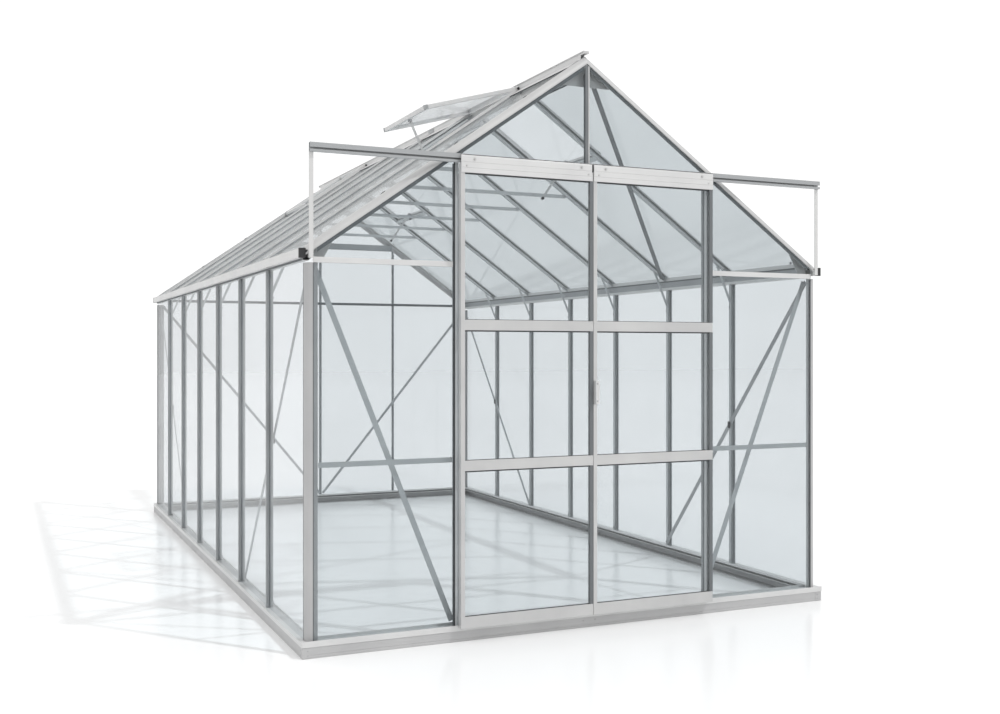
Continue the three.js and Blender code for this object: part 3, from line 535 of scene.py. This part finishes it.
# ---- Braces and waist rails, inside the panes ----
BRACE = 0.024
BRACE_FOOT = 0.08
WALL_BRACE = (0.0235, 0.0265)
ROOF_BRACE = (-0.0205, -0.0175)
gable_braces = Build()
braces = Build()
clips = Build()
for side in (-1, 1):
    top = (side * (HALF_WIDTH - 0.045), EAVE_Z - 0.013)
    gable_braces.strip(FACES["front"], top, (side * 0.641, BRACE_FOOT), BRACE, 0.0352, 0.0382)
    braces.strip(FACES["rear"], top, (side * 0.012, BRACE_FOOT), BRACE * 0.8, 0.0302, 0.0332)
for name in ("left", "right"):
    end = HALF_LENGTH - 0.045
    for way in (-1, 1):
        top = Vector((way * end, EAVE_Z - 0.013))
        foot = Vector((way * -WALL_LINES[2], BRACE_FOOT))
        braces.strip(FACES[name], top, foot, BRACE, *WALL_BRACE)
        u, w = top.lerp(foot, (end + WALL_LINES[1]) / (end + WALL_LINES[2]))
        clip_back = WALL_BRACE[1]
        clips.band(FACES[name], u, 0.011, w - 0.018, w + 0.018, clip_back, clip_back + 0.004)
gable_braces.finish("front_braces", BAR)
braces.finish("wall_braces", MILL)
clips.finish("brace_clips", RUBBER, bevel=0.001)

roof_braces = Build()
for name in ("left", "right"):
    top = (0.05 - HALF_LENGTH, 0.03)
    foot = (WALL_LINES[2], (HALF_WIDTH - 0.06) / COS)
    roof_braces.strip(FACES["roof_" + name], top, foot, BRACE * 1.2, *ROOF_BRACE)
roof_braces.finish("roof_braces", DARK_MILL)

WAIST_Z = 0.767
rails = Build()
for side in (-1, 1):
    near, far = 0.65, HALF_WIDTH - 0.054
    rails.side_block(FACES["front"], side, near, far, WAIST_Z - 0.011, WAIST_Z + 0.011, 0.0058, 0.0084)
    rails.side_block(FACES["front"], side, near, far, WAIST_Z - 0.001, WAIST_Z + 0.0015, 0.0084, 0.018)
rails.finish("waist_rails", BAR)

# ---- Gutter ends, beam seals, and the ridge's ends, flashings and seals ----
EAVE_REACH = 0.027
ends = Build()
for side in (-1, 1):
    for face, x_way in ((FACES["front"], side), (FACES["rear"], -side)):
        near, far = HALF_WIDTH - 0.010, HALF_WIDTH + 0.004
        ends.side_block(face, x_way, near, far, EAVE_Z + 0.022, EAVE_Z + 0.050, 0.001, 0.0085)
        near, far = HALF_WIDTH, HALF_WIDTH + EAVE_REACH
        ends.side_block(face, x_way, near, far, EAVE_Z + 0.016, EAVE_Z + 0.056, -0.006, 0.0085)
ends.finish("gutter_end_caps", BLACK, bevel=0.0012, segments=2)

# Painted shadow in slate under the gutters outside, rubber along the beams' faces inside, and a darker strip
# of painted shade below it.
BEAM_HALF = HALF_LENGTH - 0.046
rubber_and_shadow = Build()
painted_strips = Build()
for name in ("left", "right"):
    face = FACES[name]
    # Painted shadow under the gutter, outside.
    rubber_and_shadow.band(face, 0, BEAM_HALF, BEAM_BOTTOM - 0.001, BEAM_BOTTOM + 0.0075, -0.0045, -0.0027)
    rubber_and_shadow.band(face, 0, BEAM_HALF, EAVE_Z + 0.054, EAVE_Z + 0.062, 0.0362, 0.0376)
    # Painted shade in mill colour on the beam's face inside.
    painted_strips.band(face, 0, BEAM_HALF, BEAM_BOTTOM + 0.0125, EAVE_Z + 0.0538, 0.0361, 0.0367)
rubber_and_shadow.finish("eave_rubber_and_shadow", SLATE)
painted_strips.finish("eave_painted_shade", MILL)

ridge_low, ridge_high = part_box("ridge")
RIDGE_TOP = ridge_high.z
RIDGE_END = HALF_LENGTH - (ridge_high.y - ridge_low.y) / 2
cap_ends = Build()
for face in (FACES["front"], FACES["rear"]):
    cap_ends.band(face, 0, 0.0145, RIDGE_TOP - 0.012, RIDGE_TOP, RIDGE_END - 0.003, RIDGE_END - 0.0001)
cap_ends.finish("ridge_end_plates", BRIGHT, bevel=0.001)

# Flashings and seals lie on the roof glass between the bars' beads, where there is no vent.
BEAD_CLEAR = 0.0142
FLASHING = 0.066
seals = Build()
flashings = Build()
for name in ("left", "right"):
    for bay, (low, high) in enumerate(zip(WALL_LINES, WALL_LINES[1:])):
        if bay not in VENT_BAYS:
            u0 = max(low + BEAD_CLEAR, 0.01 - ROOF_END)
            u1 = min(high - BEAD_CLEAR, ROOF_END - 0.01)
            seals.block(FACES["roof_" + name], u0, u1, FLASHING + 0.0002, FLASHING + 0.0062, 0.0047, 0.0075)
            flashings.block(FACES["roof_" + name], u0, u1, -0.003, FLASHING, 0.0047, 0.0075)
seals.finish("ridge_seals", RUBBER)
flashings.finish("ridge_flashings", RAIL)

SPLICE_Z = (RIDGE_TOP - 0.03, RIDGE_TOP - 0.006)
SPLICE_DEPTH = (HALF_LENGTH - 0.35, HALF_LENGTH - 0.27)
splices = Build()
for side in (-1, 1):
    splices.side_block(FACES["front"], side, 0.0103, 0.0135, *SPLICE_Z, *SPLICE_DEPTH)
splices.finish("ridge_splices", MILL, bevel=0.0008)

# ---- Base corners and joints ----
corners = Build()
screws = Build()
BASE_REACH = 0.017
PLATE_REACH = BASE_REACH + 0.0012
JOINT_SCREW_Z = 0.03
for name in ("front", "rear", "left", "right"):
    half = wall_half(name)
    face = FACES[name]
    for side in (-1, 1):
        near, far = half + BASE_REACH - 0.034, half + PLATE_REACH
        corners.side_block(face, side, near, far, 0.0015, 0.0425, -PLATE_REACH, -BASE_REACH - 0.0001)
        for w in (0.012, 0.031):
            place = face.at(side * (half + BASE_REACH - 0.022), w, -PLATE_REACH)
            screws.screw(place, -face.d, 0.0032)
for name in ("left", "right"):
    for u in (-0.31, 0.31):
        for step in (-0.03, 0.03):
            screws.screw(FACES[name].at(u + step, JOINT_SCREW_Z, -BASE_REACH), -FACES[name].d, 0.0035)
for name in ("front", "rear"):
    for step in (-0.03, 0.03):
        screws.screw(FACES[name].at(step, JOINT_SCREW_Z, -BASE_REACH), -FACES[name].d, 0.0035)
corners.finish("base_corner_plates", BASE, bevel=0.0005)
screws.finish("base_screws", STEEL)

# ---- Fixings at the frames' joints ----
BAR_INNER = 0.023
ROOF_BAR_INNER = -0.017
fixings = Build()
for name in ("left", "right"):
    face = FACES[name]
    for u in WALL_LINES[1:-1]:
        fixings.bolt(face.at(u, 0.085, BAR_INNER), face.d, 0.0045)
        for w in (1.47, 1.51):
            fixings.bolt(face.at(u + 0.0045, w, BAR_INNER), face.d, 0.0035)
        fixings.bolt(face.at(u + 0.016, EAVE_Z + 0.034, 0.036), face.d, 0.0045)
    slope = FACES["roof_" + name]
    for u in WALL_LINES[1:-1]:
        for w in (0.04, 0.06, 0.69, 1.4):
            fixings.bolt(slope.at(u + 0.0045, w, ROOF_BAR_INNER), -slope.d, 0.0035)
for side in (-1, 1):
    for u, w in ((0.09, 2.43), (0.03, 2.43), (0.03, 2.48), (1.16, 1.66), (1.2, 1.635)):
        fixings.bolt(FACES["front"].at(side * u, w, 0.0345), (0, 1, 0), 0.005)
        fixings.bolt(FACES["rear"].at(side * u, w, 0.0345), (0, -1, 0), 0.005)
fixings.finish("frame_bolts", STEEL)

# ---- Gable details ----
clips = Build()
near, far = HALF_LENGTH - 0.049, HALF_LENGTH - 0.0445
for name in ("left", "right"):
    for w in (0.32, 0.72, 1.12):
        for end in (-1, 1):
            clips.side_block(FACES["roof_" + name], end, near, far, w, w + 0.02, 0.0046, 0.0075)
clips.finish("verge_clips", RUBBER, bevel=0.0006)

# Dark seals beside the glass: along the corner posts, and behind the gable glass under the verges.
POST_SEAL_INNER = 0.0345
POST_SEAL_OUTER = 0.0305
seals = Build()
for name in SIDES:
    near = wall_half(name) - POST_SEAL_INNER
    far = wall_half(name) - POST_SEAL_OUTER
    for side in (-1, 1):
        seals.side_block(FACES[name], side, near, far, PANE_FOOT, EAVE_Z - 0.001, -0.0006, 0.001)
seals.finish("corner_post_seals", SLATE)
seals = Build()
VERGE_NEAR, VERGE_FAR = (reach / COS for reach in (0.0315, 0.046))
for name in ("front", "rear"):
    for side in (-1, 1):
        outline = []
        for x, drop in ((0.014, VERGE_NEAR), (1.236, VERGE_NEAR), (1.236, VERGE_FAR), (0.014, VERGE_FAR)):
            outline.append((side * x, VERGE_CORNER_Z - TAN * x - drop))
        seals.slab(FACES[name], outline, 0.0053, 0.0058)
seals.finish("verge_seals", SLATE)

# ---- Door way seals and the doors ----
JAMB_TOP = 2.034
seals = Build()
trim = Build()
strips = Build()
for side in (-1, 1):
    seals.side_block(FACES["front"], side, 0.6388, 0.6448, PANE_FOOT, JAMB_TOP, -0.001, 0.001)
    trim.side_block(FACES["front"], side, 0.6235, 0.6385, PANE_FOOT, JAMB_TOP, -0.0024, 0.001)
    far = HALF_WIDTH - POST_SEAL_OUTER
    strips.side_block(FACES["front"], side, 0.649, far, EAVE_Z, EAVE_Z + 0.023, -0.0022, 0.001)
seals.finish("jamb_seals", RUBBER)
trim.finish("jamb_covers", BAR, bevel=0.0006)
strips.finish("front_cover_strips", RAIL, bevel=0.0008)

DOOR_WIDTH = 0.633
PANEL_LOW, PANEL_HIGH = 1.977, 2.05
PANEL_FACE = -0.004
PANEL_GROOVES = (0.018, 0.042)
GROOVE_FLOOR = -0.0028
BEAD_INSET = 0.0105
BEAD_DEPTH = (0.0032, 0.0088)
BRUSH_HEIGHT = (0.07, 1.975)
AXLES = (0.06, 0.572)
AXLE_Z = 2.0347
RAILS = ((0.723, 0.767), (1.315, 1.359), (1.977, 2.016))
for name, body in (("left", "door_left"), ("right", "door_right")):
    door = DOORS[name]
    panes = Build()
    for low, high in ((0.066, 0.744), (0.746, 1.336), (1.338, 2.012)):
        panes.block(door, 0.005, DOOR_WIDTH - 0.005, low, high, 0.009, 0.013)
    panes.finish("door_panes_" + name, FRONT_GLASS, body, replaces=["door_glass_" + name])

    panel = Build()
    outline = [(PANEL_LOW, -0.0034), (PANEL_LOW + 0.0012, PANEL_FACE)]
    for groove in PANEL_GROOVES:
        start = PANEL_LOW + groove
        outline.append((start, PANEL_FACE))
        outline.append((start + 0.001, GROOVE_FLOOR))
        outline.append((start + 0.0025, GROOVE_FLOOR))
        outline.append((start + 0.0035, PANEL_FACE))
    outline.append((PANEL_HIGH - 0.0012, PANEL_FACE))
    outline.extend([(PANEL_HIGH, -0.0034), (PANEL_HIGH, -0.0006), (PANEL_LOW, -0.0006)])
    panel_start = 0.0077 if name == "left" else 0.0005
    panel.prism(*([door.at(u, w, d) for w, d in outline] for u in (panel_start, DOOR_WIDTH)))
    for u in AXLES:
        panel.ring(door.at(u, AXLE_Z, -0.002), door.d, 0.003, 0.0297, 24)
        panel.ring(door.at(u, AXLE_Z, 0.0272), door.d, 0.0045, 0.0012, 24)
    panel.finish("door_panel_" + name, RAIL, body, replaces=["door_hanger_" + name])

    heads = Build()
    for u in AXLES:
        heads.bolt(door.at(u, AXLE_Z, -0.004), -door.d, 0.0052)
    for u in (0.025, DOOR_WIDTH - 0.025):
        heads.screw(door.at(u, PANEL_LOW + 0.029, -0.004), -door.d, 0.005)
    for w in (0.078, 0.095, 0.734, 0.756, 1.325, 1.35):
        for u in (0.006, DOOR_WIDTH - 0.006):
            heads.screw(door.at(u, w, 0), -door.d, 0.0028)
    heads.finish("door_fixings_" + name, BRIGHT, body)

    # A black strip of painted shadow along the panel's top, under the track.
    seal = Build()
    seal.block(door, panel_start, DOOR_WIDTH, PANEL_HIGH - 0.0004, PANEL_HIGH + 0.0032, -0.0005, 0.0035)
    seal.finish("door_panel_painted_shadow_" + name, BLACK, body, bevel=0.0006)

    beads = Build()
    for u in (0.0055, DOOR_WIDTH - 0.0055):
        beads.band(door, u, 0.0012, 0.112, 1.976, 0.0055, 0.0088)
    across = (BEAD_INSET, DOOR_WIDTH - BEAD_INSET)
    for rail_low, rail_high in RAILS:
        beads.block(door, *across, rail_high, rail_high + 0.0022, *BEAD_DEPTH)
        # A dark strip under each rail is painted shade beneath the rail's lip.
        beads.block(door, *across, rail_low - 0.006, rail_low, *BEAD_DEPTH)
    beads.block(door, *across, 0.111, 0.1132, *BEAD_DEPTH)
    beads.finish("door_beads_and_shade_" + name, RUBBER, body)

    brush = Build()
    brush.block(door, 0.0002, 0.0038, *BRUSH_HEIGHT, 0.0245, 0.0275)
    brush.block(door, DOOR_WIDTH - 0.0038, DOOR_WIDTH, *BRUSH_HEIGHT, 0.0245, 0.038)
    brush.finish("door_brush_seals_" + name, MILL if name == "left" else RUBBER, body)

    # The stile on the right-hand side of each leaf carries a slate-coloured strip of painted shade between
    # the rails.
    edge = Build()
    u0, u1 = (0.0002, 0.0185) if name == "left" else (DOOR_WIDTH - 0.0185, DOOR_WIDTH - 0.0002)
    starts = (0.1112, *(rail[1] + 0.0002 for rail in RAILS))
    ends = (rail[0] - 0.0003 for rail in RAILS)
    for low, high in zip(starts, ends):
        edge.block(door, u0, u1, low, high, -0.0016, -0.0002)
    edge.finish("door_edge_painted_shade_" + name, SLATE, body, bevel=0.0004)

stop = Build()
stop.block(DOORS["left"], 0.0004, 0.0072, PANEL_HIGH - 0.034, PANEL_HIGH, -0.0036, -0.0004)
stop.finish("door_stop", BLACK, "door_left", bevel=0.0006)

grips = Build()
right_door = DOORS["right"]
for w in (1.006, 1.083):
    grips.screw(right_door.at(0.018, w, -0.0033), -right_door.d, 0.0042)
grips.finish("handle_screws", STEEL, "door_right")

# ---- Vents ----
VENT_HALF = 0.307
VENT_LENGTH = 0.52
OPEN_ANGLE = math.radians(19.5)
VENTS = (
    ("left_front", -1, VENT_BAYS[0], OPEN_ANGLE),
    ("left_rear", -1, VENT_BAYS[1], 0.0),
    ("right_front", 1, VENT_BAYS[0], 0.0),
    ("right_rear", 1, VENT_BAYS[1], 0.0),
)
STAY_PIVOT = 0.486
PEG_FACE = -0.0203


def vent_face(side, bay, opened):
    """u along the ridge, w down the sash from its hinge, d above the hinge's plane."""
    angle = SLOPE - opened
    hinge = roof_face(side).at((bay - 3) * BAY, 0, 0.008)
    down = (side * math.cos(angle), 0, -math.sin(angle))
    return Face(hinge, (0, side, 0), down, (side * math.sin(angle), 0, math.cos(angle)))


for name, side, bay, opened in VENTS:
    sash = vent_face(side, bay, opened)
    body = "vent_" + name
    rim = Build()
    low, high = -0.0023, 0.0177
    for u0, u1, w0, w1 in (
        (-VENT_HALF, -VENT_HALF + 0.018, 0.0165, VENT_LENGTH - 0.0205),
        (VENT_HALF - 0.018, VENT_HALF, 0.0165, VENT_LENGTH - 0.0205),
        (-VENT_HALF, VENT_HALF, -0.002, 0.016),
        (-VENT_HALF, VENT_HALF, VENT_LENGTH - 0.02, VENT_LENGTH),
    ):
        rim.block(sash, u0, u1, w0, w1, low, high)
    rim.finish("vent_rim_" + name, RAIL, body, bevel=0.0014, segments=2, replaces=["vent_" + name])
    pane = Build()
    pane.block(sash, -VENT_HALF + 0.012, VENT_HALF - 0.012, 0.012, VENT_LENGTH - 0.015, 0.002, 0.005)
    pane.finish("vent_pane_" + name, GLASS, body)
    lug = Build()
    lug.block(sash, 0.002, 0.006, STAY_PIVOT - 0.009, VENT_LENGTH - 0.021, -0.011, 0.001)
    lug.block(sash, -0.008, 0.014, VENT_LENGTH - 0.034, VENT_LENGTH - 0.019, -0.0005, 0.0015)
    lug.ring(sash.at(-0.0026, STAY_PIVOT, -0.005), sash.u, 0.0025, 0.006, 24)
    lug.ring(sash.at(-0.0044, STAY_PIVOT, -0.005), sash.u, 0.0042, 0.002, 16, 0.9)
    lug.finish("vent_lug_" + name, STEEL, body)
    tips = Build()
    for edge in (-1, 1):
        near, far = VENT_HALF - 0.016, VENT_HALF + 0.0005
        foot, tip = VENT_LENGTH - 0.018, VENT_LENGTH + 0.0012
        tips.side_block(sash, edge, near, far, foot, tip, low - 0.0002, high + 0.0008)
    tips.finish("vent_corner_caps_" + name, MILL, body, bevel=0.0008)

    stay = Face(sash.at(0, STAY_PIVOT, -0.005), (0, side, 0), (0, 0, 1), (1, 0, 0))
    angle = SLOPE - opened / 2
    inward = Vector((-side * math.sin(angle), 0, -math.cos(angle)))
    across = Vector((0, 1, 0)).cross(inward)
    knob = Build()
    centre = stay.origin + inward * 0.25
    knob.ring(centre - Vector((0, 0.0075, 0)), (0, 1, 0), 0.0082, 0.006, 20, 0.92)
    knob.ring(centre + Vector((0, 0.0016, 0)), (0, 1, 0), 0.0082, 0.006, 20, 0.92)
    knob.finish("stay_knob_" + name, BLACK, "stay_" + name)

    peg = Build()
    slope = roof_face(side)
    middle = (bay - 3) * BAY
    peg.band(slope, middle, 0.016, 0.504, 0.522, PEG_FACE, -0.0171)
    peg.ring(slope.at(middle, 0.513, PEG_FACE), -slope.d, 0.003, 0.012, 16, 0.9)
    peg.finish("stay_peg_" + name, BLACK)

    ends = Build()
    for end in (-1, 1):
        u0, u1 = sorted((middle + end * (VENT_HALF + 0.006), middle + end * (VENT_HALF + 0.013)))
        ends.block(slope, u0, u1, -0.003, 0.008, 0.0088, 0.022)
    ends.finish("vent_hinge_ends_" + name, BLACK, bevel=0.001)

# ---- Ground, light and camera ----
def make_floor():
    data = bpy.data.meshes.new("floor")
    reach = 60
    corners_xy = ((-reach, -reach), (reach, -reach), (reach, reach), (-reach, reach))
    data.from_pydata([(x, y, -0.0005) for x, y in corners_xy], [], [(0, 1, 2, 3)])
    material, tree, output = new_material("studio floor")
    shader = tree.nodes.new("ShaderNodeBsdfPrincipled")
    shader.inputs["Base Color"].default_value = (0.96, 0.96, 0.96, 1)
    shader.inputs["Roughness"].default_value = 0.18
    shader.inputs["Specular IOR Level"].default_value = 0.35
    tree.links.new(shader.outputs["BSDF"], output.inputs["Surface"])
    data.materials.append(material)
    floor = bpy.data.objects.new("floor", data)
    bpy.context.scene.collection.objects.link(floor)


def make_world():
    """A white studio: plain to the camera and to reflections, with light a little stronger from the left."""
    world = bpy.data.worlds.new("studio")
    bpy.context.scene.world = world
    world.use_nodes = True
    tree = world.node_tree
    tree.nodes.clear()
    output = tree.nodes.new("ShaderNodeOutputWorld")
    place = tree.nodes.new("ShaderNodeTexCoord")
    dot = tree.nodes.new("ShaderNodeVectorMath")
    dot.operation = "DOT_PRODUCT"
    dot.inputs[1].default_value = Vector((-0.85, 0.1, 0.5)).normalized()
    tree.links.new(place.outputs["Generated"], dot.inputs[0])
    ramp = tree.nodes.new("ShaderNodeMapRange")
    ramp.inputs["From Min"].default_value = -0.9
    ramp.inputs["From Max"].default_value = 0.9
    ramp.inputs["To Min"].default_value = 0.74
    ramp.inputs["To Max"].default_value = 1.14
    tree.links.new(dot.outputs["Value"], ramp.inputs["Value"])
    lit = tree.nodes.new("ShaderNodeBackground")
    tree.links.new(ramp.outputs["Result"], lit.inputs["Strength"])
    mirrored = tree.nodes.new("ShaderNodeBackground")
    mirrored.inputs["Strength"].default_value = 0.93
    seen = tree.nodes.new("ShaderNodeBackground")
    seen.inputs["Strength"].default_value = 1.08
    for shade in (lit, mirrored, seen):
        shade.inputs["Color"].default_value = (1, 1, 1, 1)
    path = tree.nodes.new("ShaderNodeLightPath")
    by_mirror = tree.nodes.new("ShaderNodeMixShader")
    tree.links.new(path.outputs["Is Glossy Ray"], by_mirror.inputs["Fac"])
    tree.links.new(lit.outputs["Background"], by_mirror.inputs[1])
    tree.links.new(mirrored.outputs["Background"], by_mirror.inputs[2])
    by_eye = tree.nodes.new("ShaderNodeMixShader")
    tree.links.new(path.outputs["Is Camera Ray"], by_eye.inputs["Fac"])
    tree.links.new(by_mirror.outputs["Shader"], by_eye.inputs[1])
    tree.links.new(seen.outputs["Background"], by_eye.inputs[2])
    tree.links.new(by_eye.outputs["Shader"], output.inputs["Surface"])


def make_sun():
    data = bpy.data.lights.new("sun", "SUN")
    data.energy = 1.1
    data.angle = math.radians(1.6)
    sun = bpy.data.objects.new("sun", data)
    sun.rotation_mode = "QUATERNION"
    sun.rotation_quaternion = Vector((-0.51, 0.60, -1)).to_track_quat("-Z", "Y")
    bpy.context.scene.collection.objects.link(sun)


def make_camera():
    data = bpy.data.cameras.new("camera")
    data.sensor_width = 36
    data.lens = 39.81
    data.shift_x = 0.0168
    data.shift_y = -0.0049
    data.clip_end = 200
    camera = bpy.data.objects.new("camera", data)
    camera.location = (-2.421, -6.5442 + MID_Y, 1.2227)
    camera.rotation_euler = (math.radians(90), 0, -0.416)
    bpy.context.scene.collection.objects.link(camera)
    bpy.context.scene.camera = camera


make_floor()
make_world()
make_sun()
make_camera()
bpy.context.scene.view_settings.view_transform = "Standard"
